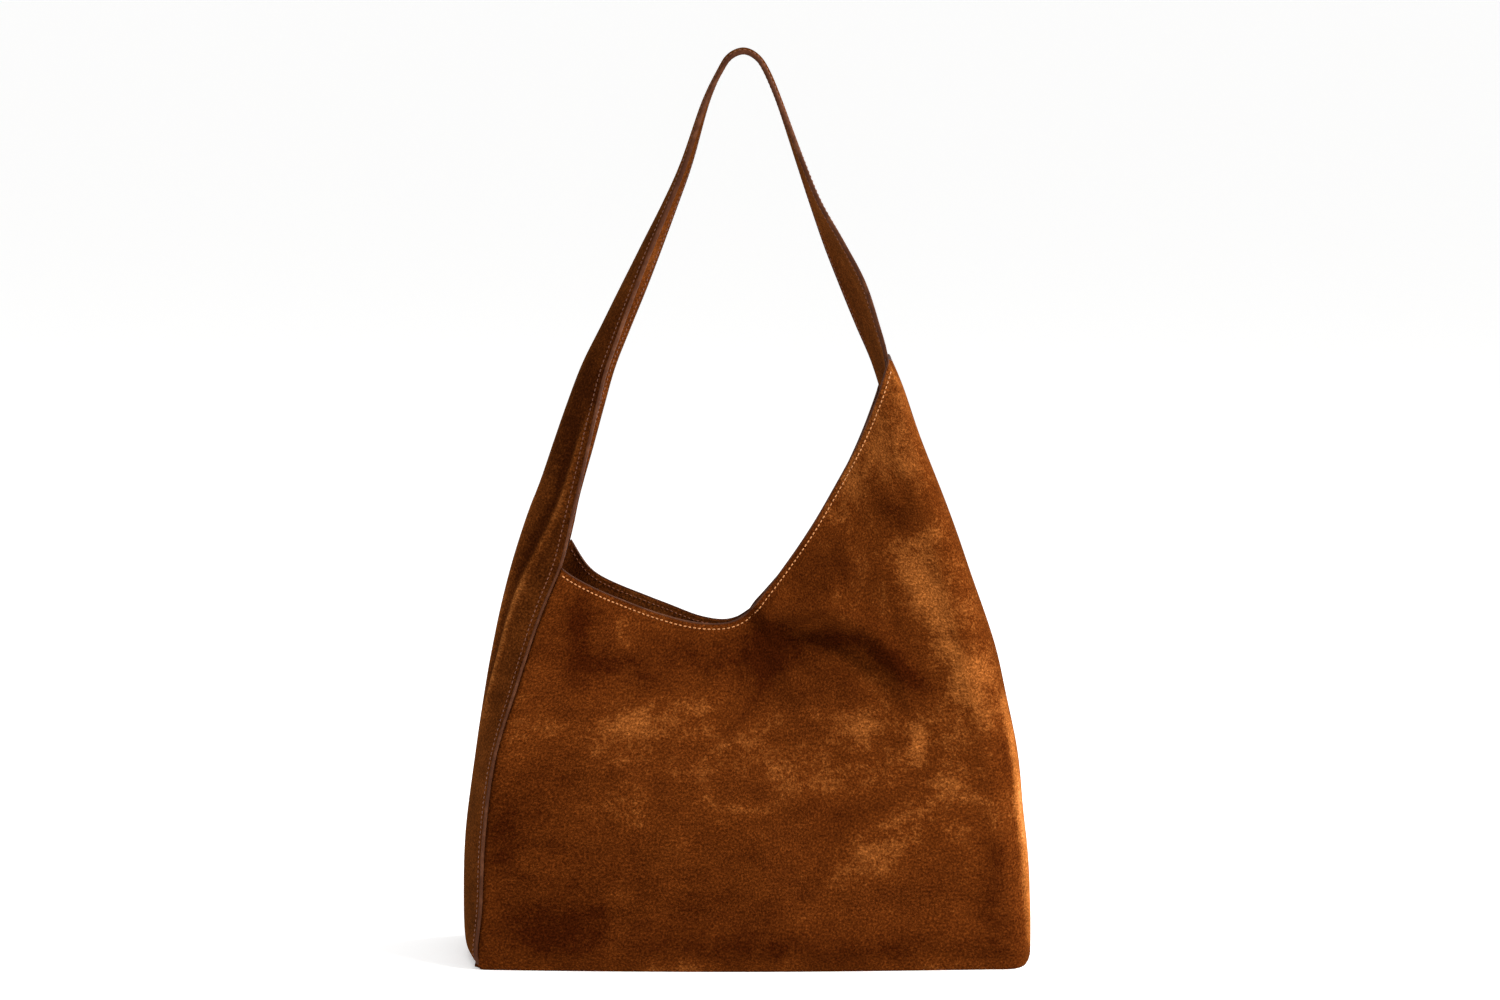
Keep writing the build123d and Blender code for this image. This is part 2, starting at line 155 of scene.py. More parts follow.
def smooth_step(value):
    """0 below 0, 1 above 1 and a soft S between them."""
    share = np.clip(value, 0.0, 1.0) if np.ndim(value) else min(max(value, 0.0), 1.0)
    return share * share * (3 - 2 * share)


def hump(offset, width):
    """1 on the crest of a soft ridge, and falling away over its width on both sides."""
    return math.exp(-((offset / width) ** 2))


def rim_height(x, side):
    """Height of the rim at x. The back one is higher left of the snap and lower right of it."""
    if x > RIM_LINE[-1, 0]:
        return math.inf
    rise = 0.0
    if side > 0:
        rise = sum(height * hump(x - middle, width) for height, middle, width in BACK_RISES)
        rise -= BACK_PEAK_DROP * smooth_step((x - 8) / 40)
    return np.interp(x, RIM_LINE[:, 0], RIM_LINE[:, 1]) + rise


def swell(x, z, seed):
    """Slow uneven rise and fall of soft suede, in millimetres."""
    broad = noise.noise(Vector((x * 0.0105 + seed, z * 0.0125, seed)))
    middle = noise.noise(Vector((x * 0.027 - seed, z * 0.03 + 7, seed)))
    small = noise.noise(Vector((x * 0.07 + 3, z * 0.08 - seed, 1.5)))
    return 4.2 * broad + 2.2 * middle + 0.7 * small


def pucker(x, z):
    """The pull of the snap: a ridge round its right, a hollow under it, two short folds and a fan."""
    dx, dz = x - PUCKER_CENTRE[0], z - PUCKER_CENTRE[1]
    angle = math.degrees(math.atan2(dz, dx))
    away = math.hypot(dx, dz) - PUCKER_RADIUS
    window = smooth_step((angle - 2) / 40) * smooth_step((118 - angle) / 14)
    ridge = PUCKER_RIDGE * hump(away - 8, PUCKER_WIDTH) - PUCKER_HOLLOW * hump(away + 9, PUCKER_WIDTH)
    fold_x = 6 + (SNAP_Z + 2 - z) * 0.62
    crease = -3.0 * hump(x - fold_x, 3.2) * smooth_step((z - 214) / 16)
    lip = 2.4 * hump(x - fold_x - 8, 5.0) * smooth_step((z - 210) / 18)
    reach, turn = math.hypot(x, z - SNAP_Z), math.atan2(z - SNAP_Z, x)
    fan = math.sin(turn * 11 + 3 * noise.noise(Vector((x * 0.02, z * 0.02, 0.7))))
    return window * ridge + crease + lip + 0.9 * fan * hump(reach - 34, 22)


def slumps(x, z):
    """Soft folds over the walls. Each has a height, the line that it follows and a width."""
    base_roll = 3.0 * hump(z - 16 - 5 * math.sin(x / 70), 13)
    above_roll = 2.2 * hump(z - 47 - 7 * math.sin(x / 55 + 1), 14)
    below_peak = 2.2 * hump(x - 123 + (z - 362) * 0.36, 5) * hump(z - 362, 30)
    beside_strip = 3.2 * hump(x + 96 - (z - 200) * 0.25, 26) * smooth_step((z - 120) / 90)
    right_streak = 2.0 * hump(x - 120 + (163 - z), 9) * hump(z - 160, 26)
    line = z - 88 + (x + 110) * 0.2 - 3 * math.sin(x / 19)
    low_left = (1.5 * hump(line - 6, 5) - 1.7 * hump(line + 5, 6)) * hump(x + 118, 42)
    low_right = 1.5 * hump(z - 88 - (x - 105) * 0.55, 7) * hump(x - 105, 34)
    return base_roll - above_roll + below_peak - beside_strip + right_streak + low_left + low_right


def wall_depth(x, z):
    """Half depth of the front wall before its folds."""
    _, left, left_bulge, left_half, right, right_bulge, right_half = level(z)
    start, end = left + left_bulge, right - right_bulge
    share = np.clip((x - start) / (end - start), 0, 1)
    belly = BELLY * math.sin(math.pi * share) * (1 - smooth_step((z - BELLY_LOW) / BELLY_FADE))
    full = left_half + share * (right_half - left_half) + belly
    corner = left_half if x < 0 else right_half
    reach = abs(start) if x < 0 else end
    away = math.hypot(x, SNAP_ROUNDING) - SNAP_ROUNDING
    farthest = math.hypot(reach, SNAP_ROUNDING) - SNAP_ROUNDING
    pulled = SNAP_HALF_DEPTH + (corner - SNAP_HALF_DEPTH) * min(away / farthest, 1.0)
    return full + smooth_step((z - PINCH_LOW) / (PINCH_FULL - PINCH_LOW)) * (pulled - full)


def folds(x, z, side):
    """Outward shift of the wall by its folds. The front and back walls fold differently."""
    _, left, left_bulge, *_ = level(z)
    seed, spread, pull = (3.1, 1.0, 1.0) if side < 0 else (8.7, 0.8, 0.6)
    near_seam = smooth_step((x - left - left_bulge) / 26)
    near_floor = smooth_step((z - 2) / 14)
    near_snap = 1 - 0.85 * hump(x, 30) * smooth_step((z - 205) / 20)
    shift = swell(x, z, seed) * near_snap + slumps(x * spread, z) + pucker(x, z) * pull
    return shift * near_seam * near_floor


def wall_point(x, z, side, inset=0.0):
    """Point on the front (-1) or back (1) wall."""
    _, left, left_bulge, *_ = level(z)
    tuck = SEAM_TUCK * math.exp(-((x - left - left_bulge - BAND) / 3.0))
    depth = wall_depth(x, z) + folds(x, z, side) - min(tuck, SEAM_TUCK)
    return np.array([x, side * (max(depth, LEAST_HALF_DEPTH) - inset), z])


def fold_power(z):
    """How square the right fold is seen from above: 1 is an ellipse and less is squarer."""
    top = 0.55 * smooth_step((z - 240) / 160) + 0.17 * smooth_step((z - 380) / 45)
    return 1.0 - top - 0.45 * smooth_step((80 - z) / 70)


def fold_point(turn, z, inset=0.0):
    """Point round the right fold. turn runs from -90 at the front corner to 90 at the back."""
    _, _, _, _, right, bulge, half = level(z)
    power = fold_power(z)
    c, s = math.cos(math.radians(turn)), math.sin(math.radians(turn))
    side = -1 if turn < 0 else 1
    end = right - bulge
    corner = folds(end, z, side) * abs(s) ** 3
    x = end + (bulge - inset) * abs(c) ** power
    y = side * (half + corner - inset) * abs(s) ** power
    dent = 1.4 * noise.noise(Vector((y * 0.03, z * 0.018, 5.5))) * abs(c)
    return np.array([x + dent, y, z])


def surface_point(x, z, side, inset=0.0):
    """Point of the front (-1) or back (1) at x, on the wall or on its half of the fold."""
    _, _, _, _, right, bulge, _ = level(z)
    if x <= right - bulge:
        return wall_point(x, z, side, inset)
    share = min((x - right + bulge) / bulge, 1.0) ** (1 / fold_power(z))
    return fold_point(side * math.degrees(math.acos(share)), z, inset)


def wall_ends(z):
    """x of the left and right ends of the walls at a height, and the bulge of the right fold."""
    _, left, left_bulge, _, right, right_bulge, _ = level(z)
    return left + left_bulge + BAND, right - right_bulge, right_bulge


def column_point(place, z, inset=0.0):
    """Point of the shell at a column place: 0 to 1 front wall, 1 to 2 fold, 2 to 3 back wall."""
    start, end, _ = wall_ends(z)
    if place <= 1:
        return wall_point(start + (end - start) * place, z, -1, inset)
    if place >= 2:
        return wall_point(end + (start - end) * (place - 2), z, 1, inset)
    return fold_point((place - 1.5) * 180, z, inset)


def column_x(place, z):
    """x of a column at a height, which needs no folds."""
    start, end, bulge = wall_ends(z)
    if 1 < place < 2:
        return end + bulge * math.cos((place - 1.5) * math.pi) ** fold_power(z)
    return start + (end - start) * (place if place <= 1 else 3 - place)


def column_top(place):
    """Height where a column meets the rim, searched in steps and then halved down."""
    side = -1 if place < 1.5 else 1
    lowest, step = 200.0, 3.0
    for z in np.arange(lowest, PEAK_Z, step):
        if z >= rim_height(column_x(place, z), side):
            low, high = z - step, z
            for _ in range(12):
                middle = (low + high) / 2
                if middle >= rim_height(column_x(place, middle), side):
                    high = middle
                else:
                    low = middle
            return high
    dip = PEAK_DIP * math.sin(math.pi * min(max((place - 1.1) / 0.8, 0), 1))
    return PEAK_Z - dip - 0.35 * BACK_PEAK_DROP * smooth_step((place - 1.2) / 0.7)


def column_places():
    """Places of the columns from the left end of the front wall round to that of the back one."""
    front = np.linspace(0, 1, WALL_COLUMNS, endpoint=False)
    fold = np.linspace(1, 2, FOLD_COLUMNS * 2, endpoint=False)
    return [*front, *fold, *np.linspace(2, 3, WALL_COLUMNS + 1)]


PLACES = column_places()
TOPS = [column_top(p) for p in PLACES]
# The front and back columns, which meet in the middle of the right fold.
FRONT = slice(0, WALL_COLUMNS + FOLD_COLUMNS + 1)
BACK = slice(WALL_COLUMNS + FOLD_COLUMNS, len(PLACES))


# --- Mesh helpers
def new_object(name, verts, faces, mats, face_mats=None, uvs=None):
    """A smooth-shaded mesh object from points in millimetres, with UVs in metres."""
    mesh = bpy.data.meshes.new(name)
    mesh.from_pydata([Vector(p) * MM for p in verts], [], faces)
    for mat in mats:
        mesh.materials.append(mat)
    if face_mats is not None:
        mesh.polygons.foreach_set("material_index", face_mats)
    if uvs is not None:
        layer = mesh.uv_layers.new(name="UVMap")
        for loop in mesh.loops:
            layer.data[loop.index].uv = uvs[loop.vertex_index]
    mesh.polygons.foreach_set("use_smooth", [True] * len(mesh.polygons))
    mesh.update()
    obj = bpy.data.objects.new(name, mesh)
    bpy.context.collection.objects.link(obj)
    return obj


def grid_uvs(grid):
    """UVs that follow the arc length along a grid's rows and columns, in metres."""
    grid = np.array(grid)
    across = np.linalg.norm(np.diff(grid, axis=0), axis=2).mean(axis=1)
    along = np.linalg.norm(np.diff(grid, axis=1), axis=2)
    u = np.concatenate([[0], np.cumsum(across)])
    v = np.hstack([np.zeros((len(grid), 1)), np.cumsum(along, axis=1)])
    return [(u[i] * MM, v[i, j] * MM) for i in range(len(grid)) for j in range(grid.shape[1])]


def grid_normals(grid):
    """Unit normals of a grid of points, square to its rows and columns."""
    grid = np.array(grid, float)
    normals = np.cross(np.gradient(grid, axis=0), np.gradient(grid, axis=1))
    return normals / np.maximum(np.linalg.norm(normals, axis=2, keepdims=True), 1e-9)


def quads(*corners):
    """Faces through the point numbers at the same place in four arrays."""
    return np.stack(corners, -1).reshape(-1, 4).tolist()


def thick_sheet(name, grid, thickness, mats, closed=False):
    """A closed sheet: the grid is its outer face, and the inner one lies thickness inside.

    The last material is on the inner face and on the edges, which are shaded flat.
    """
    grid = np.array(grid, float)
    verts = np.vstack([grid, grid - grid_normals(grid) * thickness]).reshape(-1, 3)
    outer, inner = np.arange(len(verts)).reshape(2, *grid.shape[:2])
    if closed:
        outer, inner = (np.vstack([layer, layer[:1]]) for layer in (outer, inner))
    faces = quads(outer[:-1, :-1], outer[1:, :-1], outer[1:, 1:], outer[:-1, 1:])
    outer_count = len(faces)
    faces += quads(inner[:-1, 1:], inner[1:, 1:], inner[1:, :-1], inner[:-1, :-1])
    smooth_count = len(faces)
    faces += quads(outer[:-1, -1], outer[1:, -1], inner[1:, -1], inner[:-1, -1])
    faces += quads(outer[1:, 0], outer[:-1, 0], inner[:-1, 0], inner[1:, 0])
    if not closed:
        faces += quads(outer[0, :-1], outer[0, 1:], inner[0, 1:], inner[0, :-1])
        faces += quads(outer[-1, 1:], outer[-1, :-1], inner[-1, :-1], inner[-1, 1:])
    face_mats = [0 if k < outer_count else len(mats) - 1 for k in range(len(faces))]
    obj = new_object(name, verts, faces, mats, face_mats, grid_uvs(grid) * 2)
    obj.data.polygons.foreach_set("use_smooth", [k < smooth_count for k in range(len(faces))])
    return obj


def tube_numbers(rings, count):
    """Point numbers of a tube made of rings, those of the next point round, and the end faces."""
    here = np.arange(rings * count).reshape(rings, count)
    return here, np.roll(here, -1, axis=1), [here[0].tolist(), here[-1, ::-1].tolist()]


BEAD_STEPS = 8
BEAD_LAP = 0.15
BEAD_SKIRT = 0.5


def bead(name, line, outward, up, width, height, mats):
    """A rounded strip along a line that caps a sheet's raw edge, from its outer face inwards."""
    line, outward, up = (np.array(a, float) for a in (line, outward, up))
    profile = []
    for k in range(BEAD_STEPS + 1):
        a = math.pi * k / BEAD_STEPS
        profile.append((width / 2 * math.cos(a), height * math.sin(a)))
    profile += [(-width / 2 + 0.1, -BEAD_SKIRT), (width / 2 - 0.1, -BEAD_SKIRT)]
    verts, uvs, run = [], [], 0.0
    for i, point in enumerate(line):
        if i:
            run += np.linalg.norm(line[i] - line[i - 1])
        middle = point - outward[i] * (width / 2 - BEAD_LAP)
        for k, (a, b) in enumerate(profile):
            verts.append(middle + outward[i] * a + up[i] * b)
            uvs.append((run * MM, k * 0.5 * MM))
    here, beside, ends = tube_numbers(len(line), len(profile))
    faces = quads(here[:-1], here[1:], beside[1:], beside[:-1]) + ends
    return new_object(name, verts, faces, mats, None, uvs)


STITCH_PITCH = 3.5
STITCH_LENGTH = 2.3
STITCH_LIFT = 0.16
STITCH_DIP = 0.45
THREAD = 0.42
THREAD_SIDES = 6
# Along half a stitch to either side of its middle, and how full the thread is there.
STITCH_STATIONS = [
    (-1.0, 0.35), (-0.82, 0.85), (-0.4, 1.0), (0.0, 1.0), (0.4, 1.0), (0.82, 0.85), (1.0, 0.35)
]


def resample(line, normals):
    """The middle of each stitch along a line, with the direction and the normal there."""
    line, normals = np.array(line, float), np.array(normals, float)
    run = np.concatenate([[0], np.cumsum(np.linalg.norm(np.diff(line, axis=0), axis=1))])
    places = np.arange(STITCH_PITCH * 0.5, run[-1] - STITCH_PITCH * 0.3, STITCH_PITCH)

    def values_at(distances, values):
        return np.stack([np.interp(distances, run, values[:, k]) for k in range(3)], 1)

    at, normal = values_at(places, line), values_at(places, normals)
    along = values_at(places + 0.5, line) - at
    along /= np.maximum(np.linalg.norm(along, axis=1, keepdims=True), 1e-9)
    normal /= np.linalg.norm(normal, axis=1, keepdims=True)
    return at, along, normal


def stitches(name, runs, mat):
    """Saddle of thread at each stitch: a short pillow that dips into the leather at both ends."""
    verts, faces = [], []
    here, beside, ends = tube_numbers(len(STITCH_STATIONS), THREAD_SIDES)
    stitch = quads(here[:-1], beside[:-1], beside[1:], here[1:]) + [end[::-1] for end in ends]
    for line, normals in runs:
        for index, (p, t, n) in enumerate(zip(*resample(line, normals))):
            side = np.cross(t, n)
            slant = 0.07 * math.sin(index * 2.4)
            faces += [[len(verts) + k for k in face] for face in stitch]
            for share, girth in STITCH_STATIONS:
                centre = p + t * share * STITCH_LENGTH / 2 + side * share * slant
                centre = centre + n * (STITCH_LIFT - STITCH_DIP * abs(share) ** 3)
                for k in range(THREAD_SIDES):
                    a = 2 * math.pi * k / THREAD_SIDES
                    round_about = side * math.cos(a) * 1.15 + n * math.sin(a)
                    verts.append(centre + round_about * THREAD * girth)
    return new_object(name, verts, faces, [mat])


# --- Materials
def set_inputs(node, **values):
    """Set a node's inputs by name, with _ for each space."""
    for key, value in values.items():
        node.inputs[key.replace("_", " ")].default_value = value


def base_material(name, rough, specular=0.3):
    """A new material, with its node tree and its shader."""
    mat = bpy.data.materials.new(name)
    mat.use_nodes = True
    shader = mat.node_tree.nodes["Principled BSDF"]
    set_inputs(shader, Roughness=rough, Specular_IOR_Level=specular)
    return mat, mat.node_tree, shader


def add(tree, kind, **settings):
    node = tree.nodes.new(kind)
    for key, value in settings.items():
        setattr(node, key, value)
    return node


def coordinate(tree, space="Object"):
    """The UVs, which run along the sheet in metres, or the object's own space."""
    if space == "UV":
        return add(tree, "ShaderNodeUVMap", uv_map="UVMap").outputs["UV"]
    return add(tree, "ShaderNodeTexCoord").outputs["Object"]


def noise_node(tree, source, scale, detail=3.0, rough=0.55, distort=0.0, stretch=None, turn=0.0):
    """Noise over a coordinate, with its own stretch and turn."""
    if stretch or turn:
        mapping = add(tree, "ShaderNodeMapping")
        set_inputs(mapping, Rotation=(0, 0, turn), Scale=stretch or (1, 1, 1))
        tree.links.new(source, mapping.inputs["Vector"])
        source = mapping.outputs["Vector"]
    node = add(tree, "ShaderNodeTexNoise")
    set_inputs(node, Scale=scale, Detail=detail, Roughness=rough, Distortion=distort)
    tree.links.new(source, node.inputs["Vector"])
    return node.outputs["Fac"]


def bands(tree, coord, direction, scale, distort=0.0):
    """Straight bands across a direction."""
    node = add(tree, "ShaderNodeTexWave", wave_type="BANDS", bands_direction=direction)
    set_inputs(node, Scale=scale, Distortion=distort)
    tree.links.new(coord, node.inputs["Vector"])
    return node.outputs["Fac"]


def ramp(tree, source, stops):
    """A colour that follows a value through stops of place and colour."""
    node = add(tree, "ShaderNodeValToRGB")
    while len(node.color_ramp.elements) < len(stops):
        node.color_ramp.elements.new(0.5)
    for element, (place, colour) in zip(node.color_ramp.elements, stops):
        element.position = place
        element.color = (*colour, 1)
    tree.links.new(source, node.inputs["Fac"])
    return node.outputs["Color"]


def base_colour(tree, shader, source, stops):
    """The base colour follows a value through stops of place and colour."""
    tree.links.new(ramp(tree, source, stops), shader.inputs["Base Color"])


def maths(tree, kind, a, b):
    node = add(tree, "ShaderNodeMath", operation=kind)
    for socket, value in zip(node.inputs, (a, b)):
        if isinstance(value, (int, float)):
            socket.default_value = value
        else:
            tree.links.new(value, socket)
    return node.outputs[0]


def weighted(tree, parts):
    """The sum of outputs, each times its weight."""
    total = None
    for source, weight in parts:
        term = maths(tree, "MULTIPLY", source, weight)
        total = term if total is None else maths(tree, "ADD", total, term)
    return total


def bump(tree, shader, layers):
    """Stacked bumps: (height, distance in metres, strength)."""
    normal = None
    for height, distance, strength in layers:
        node = add(tree, "ShaderNodeBump")
        set_inputs(node, Distance=distance, Strength=strength)
        tree.links.new(height, node.inputs["Height"])
        if normal:
            tree.links.new(normal, node.inputs["Normal"])
        normal = node.outputs["Normal"]
    tree.links.new(normal, shader.inputs["Normal"])


GREY_MIDDLE = 0.294
PALEST = (1.9, 2.4, 3.6)
SPECK_STOPS = [(0.36, (0.34, 0.31, 0.27)), (0.5, (0.90, 0.90, 0.90)), (0.64, (2.1, 2.25, 2.5))]
SPECK_SHARE = 0.9
SHEEN_TINT = (1.0, 0.42, 0.12, 1)


def suede(name, colours, marks=False, seed=0.0):
    """Napped suede: cloudy brushed patches, a fine fibre grain and, with marks, nap patches with painted
    shade and highlights.
    """
    mat, tree, shader = base_material(name, 0.95, 0.0)
    shifted = add(tree, "ShaderNodeVectorMath", operation="ADD")
    shifted.inputs[1].default_value = (seed, seed * 0.7, 0)
    tree.links.new(coordinate(tree, "UV"), shifted.inputs[0])
    coord = shifted.outputs["Vector"]
    clouds = noise_node(tree, coord, 13, 4, 0.6, 1.4)
    patches = noise_node(tree, coord, 38, 4, 0.62, 0.9)
    brushed = noise_node(tree, coord, 30, 5, 0.6, 0.4, (1.0, 3.4, 1), 0.5)
    grain = noise_node(tree, coord, 620, 4, 0.8)
    fleck = noise_node(tree, coord, 260, 4, 0.75)
    tone = weighted(tree, [(clouds, 0.52), (patches, 0.32), (brushed, 0.2), (fleck, 0.46)])
    tone = maths(tree, "SUBTRACT", tone, GREY_MIDDLE)
    # With marks, the point attribute adds nap patches with painted shade and painted highlights.
    if marks:
        nap_and_painted_light = add(tree, "ShaderNodeAttribute", attribute_name="nap_and_painted_light").outputs["Fac"]
        tone = maths(tree, "ADD", tone, nap_and_painted_light)
    dark, middle, light = colours
    pale = [min(c * k, 1.0) for c, k in zip(light, PALEST)]
    colour = ramp(tree, tone, [(0.20, dark), (0.50, middle), (0.80, light), (1.0, pale)])
    mix = add(tree, "ShaderNodeMix", data_type="RGBA", blend_type="MULTIPLY")
    mix.inputs[0].default_value = SPECK_SHARE
    tree.links.new(colour, mix.inputs[6])
    tree.links.new(ramp(tree, grain, SPECK_STOPS), mix.inputs[7])
    tree.links.new(mix.outputs[2], shader.inputs["Base Color"])
    set_inputs(shader, Sheen_Weight=0.08, Sheen_Roughness=0.3, Sheen_Tint=SHEEN_TINT)
    bump(tree, shader, [(patches, 0.0012, 0.35), (fleck, 0.0006, 0.45), (grain, 0.0003, 0.5)])
    return mat


def edge_paint():
    """Matt painted edge, slightly uneven and rubbed paler here and there."""
    mat, tree, shader = base_material("edge_paint", 0.5, 0.07)
    coord = coordinate(tree, "UV")
    wear = noise_node(tree, coord, 160, 4, 0.65)
    long_wear = noise_node(tree, coord, 18, 3, 0.5)
    tone = weighted(tree, [(wear, 0.5), (long_wear, 0.5)])
    dark, middle, wear_and_painted_highlight = (0.030, 0.0080, 0.003), (0.058, 0.018, 0.0068), (0.14, 0.052, 0.023)
    base_colour(tree, shader, tone, [(0.3, dark), (0.5, middle), (0.72, wear_and_painted_highlight)])
    bump(tree, shader, [(wear, 0.0003, 0.35)])
    return mat


def thread_material(name, colour):
    """Twisted thread, a little uneven in colour."""
    mat, tree, shader = base_material(name, 0.55, 0.4)
    coord = coordinate(tree)
    twist = bands(tree, coord, "DIAGONAL", 700)
    pale = [min(c * 1.5, 1) for c in colour]
    dark = [c * 0.6 for c in colour]
    uneven = noise_node(tree, coord, 60, 2)
    tone = weighted(tree, [(twist, 0.5), (uneven, 0.5)])
    base_colour(tree, shader, tone, [(0.25, dark), (0.5, colour), (0.8, pale)])
    bump(tree, shader, [(twist, 0.0001, 0.5)])
    return mat


def woven(name, colours, threads=900.0, space="UV"):
    """Plain weave: two sets of threads over and under, with uneven yarn."""
    mat, tree, shader = base_material(name, 0.9, 0.02)
    coord = coordinate(tree, space)
    axes = ("X", "Y" if space == "UV" else "Z")
    weave = maths(tree, "MULTIPLY", *(bands(tree, coord, axis, threads / 6.3, 0.6) for axis in axes))
    uneven = noise_node(tree, coord, 90, 3)
    tone = weighted(tree, [(weave, 0.6), (uneven, 0.5)])
    base_colour(tree, shader, tone, list(zip((0.15, 0.75), colours)))
    bump(tree, shader, [(weave, 0.0003, 0.5)])
    return mat


def metal(name, colour, rough):
    """Satin metal with fine rubbing and darker tarnish."""
    mat, tree, shader = base_material(name, rough, 0.5)
    set_inputs(shader, Metallic=1.0)
    coord = coordinate(tree)
    rub = noise_node(tree, coord, 900, 3, 0.6, 0, (1, 1, 8))
    stain = noise_node(tree, coord, 120, 3)
    dark = [c * 0.55 for c in colour]
    base_colour(tree, shader, stain, [(0.3, dark), (0.6, colour)])
    uneven_rough = maths(tree, "ADD", weighted(tree, [(rub, 0.25)]), rough - 0.1)
    tree.links.new(uneven_rough, shader.inputs["Roughness"])
    bump(tree, shader, [(rub, 0.00005, 0.3)])
    return mat


def board_material():
    mat, tree, shader = base_material("fibreboard", 0.9, 0.2)
    fibre = noise_node(tree, coordinate(tree), 400, 5, 0.7, 0.6, (1, 4, 1))
    base_colour(tree, shader, fibre, [(0.3, (0.2, 0.14, 0.09)), (0.7, (0.42, 0.33, 0.23))])
    bump(tree, shader, [(fibre, 0.0002, 0.5)])
    return mat


# Colours from dark to light.
PANEL_COLOURS = [(0.030, 0.0052, 0.0008), (0.084, 0.0188, 0.0026), (0.29, 0.088, 0.0165)]
STRIP_COLOURS = [(0.030, 0.0065, 0.0012), (0.090, 0.0225, 0.0036), (0.26, 0.082, 0.017)]
INSIDE_COLOURS = [(0.028, 0.0065, 0.0015), (0.090, 0.0225, 0.0040), (0.20, 0.062, 0.013)]
LINING_COLOURS = [(0.045, 0.0145, 0.0045), (0.15, 0.053, 0.017)]
POCKET_COLOURS = [(0.042, 0.017, 0.006), (0.135, 0.058, 0.023)]
TAPE_COLOURS = [(0.02, 0.011, 0.007), (0.06, 0.032, 0.018)]

suede_front = suede("suede_panels", PANEL_COLOURS, marks=True)
suede_strip = suede("suede_strip", STRIP_COLOURS, marks=True, seed=3.7)
suede_inside = suede("suede_inside", INSIDE_COLOURS, seed=8.3)
suede_plain = suede("suede_plain", PANEL_COLOURS, seed=6.1)
edges = edge_paint()
bright_thread = thread_material("thread_tan", (0.47, 0.19, 0.06))
dull_thread = thread_material("thread_brown", (0.16, 0.048, 0.017))
lining_cloth = woven("lining_cloth", LINING_COLOURS)
pocket_cloth = woven("pocket_cloth", POCKET_COLOURS)
tape_cloth = woven("zip_tape", TAPE_COLOURS, 1500, "OBJECT")
brass = metal("satin_brass", (0.72, 0.5, 0.22), 0.32)
steel = metal("plain_steel", (0.55, 0.55, 0.55), 0.38)


# Where the suede is paler (+) or darker (-): nap patches, and painted shade and highlights of the folds,
# such as the painted shade under the fold round the snap: x, z, half width, half height, slope, strength.
NAP_AND_PAINTED_LIGHT_MARKS = [
    (-80, 172, 42, 12, 0.25, 0.11), (15, 145, 50, 15, -0.05, 0.07), (85, 172, 26, 14, 0.1, 0.08),
    (-20, 215, 60, 16, -0.1, -0.12), (15, 222, 16, 20, 0, -0.22), (60, 228, 34, 9, 0, -0.14),
    (105, 212, 24, 11, -0.5, -0.20), (30, 190, 34, 9, 0, -0.10), (-118, 240, 10, 26, 0, -0.14),
    (-88, 235, 7, 22, 0, 0.06), (-100, 214, 36, 14, 0, -0.13), (118, 275, 16, 18, -1, 0.12),
    (104, 322, 16, 9, -0.6, -0.14), (60, 285, 18, 14, 0.5, -0.08), (92, 375, 18, 44, 0.3, 0.10),
    (72, 345, 10, 22, 0, 0.08), (140, 135, 16, 40, 0.3, 0.08), (85, 75, 36, 16, 0.2, 0.045),
    (172, 50, 14, 34, 0, -0.10), (-145, 128, 34, 24, 0, -0.09), (-172, 98, 14, 24, 0, -0.12),
    (-135, 32, 34, 16, 0.1, -0.13), (-110, 118, 40, 10, -0.15, 0.05), (20, 18, 170, 10, 0, -0.09),
    (-10, 40, 210, 34, 0, -0.05), (35, 110, 60, 9, 0.2, -0.05), (123, 163, 8, 20, 0.9, 0.13),
    (150, 205, 22, 26, -0.4, 0.10), (112, 362, 15, 28, 0, 0.075), (127, 303, 17, 26, 0, 0.07), (143, 248, 18, 22, 0, 0.08),
    (168, 212, 16, 18, 0, 0.05), (-25, 218, 28, 24, 0, -0.055), (-98, 250, 36, 12, -0.4, -0.035),
    (90, 84, 38, 22, 0.3, 0.04), (-145, 66, 32, 22, 0, -0.05),
]


def nap_and_painted_light_at(x, y, z):
    """How much paler or darker the suede is at a place, by nap patches and painted shade and highlights. The
    marks are weaker on the back, and the low part of the right fold gets a painted highlight."""
    tone = 0.0
    for mx, mz, half_x, half_z, slope, strength in NAP_AND_PAINTED_LIGHT_MARKS:
        dx = (x - mx) / half_x
        dz = (z - mz - slope * (x - mx)) / half_z
        tone += strength * math.exp(-(dx * dx + dz * dz))
    front = smooth_step(0.5 - y / 60)
    # Painted highlight: a bright strip on the low part of the right fold, where the light grazes it.
    wear_and_painted_highlight = smooth_step((x - level(z)[4] + 11) / 7) * hump(y + 20, 22)
    wear_and_painted_highlight *= smooth_step((z - 8) / 14) * (1 - smooth_step((z - 150) / 60))
    return (0.8 + 0.7 * front) * tone + 0.42 * wear_and_painted_highlight


def add_nap_and_painted_light(obj, tones):
    """Give each point its nap tone with painted shade and highlights, for the suede to read."""
    layer = obj.data.attributes.new("nap_and_painted_light", "FLOAT", "POINT")
    layer.data.foreach_set("value", tones)


# --- Panels
def row_shares(count):
    """Shares of a column's height, closer together near the floor and near the rim."""
    t = np.linspace(0, 1, count)
    return 0.72 * t + 0.28 * (0.5 - 0.5 * np.cos(np.pi * t))


def shell_grid(places, tops, lows, inset=0.0, rows=ROWS):
    """Columns of points of the shell, each from its low end to its top."""
    shares = row_shares(rows)
    return [
        [column_point(p, low + (top - low) * s, inset) for s in shares]
        for p, top, low in zip(places, tops, lows)
    ]


TURN_UNDER = 2.6
TURN_IN = (3.2, 1.4)


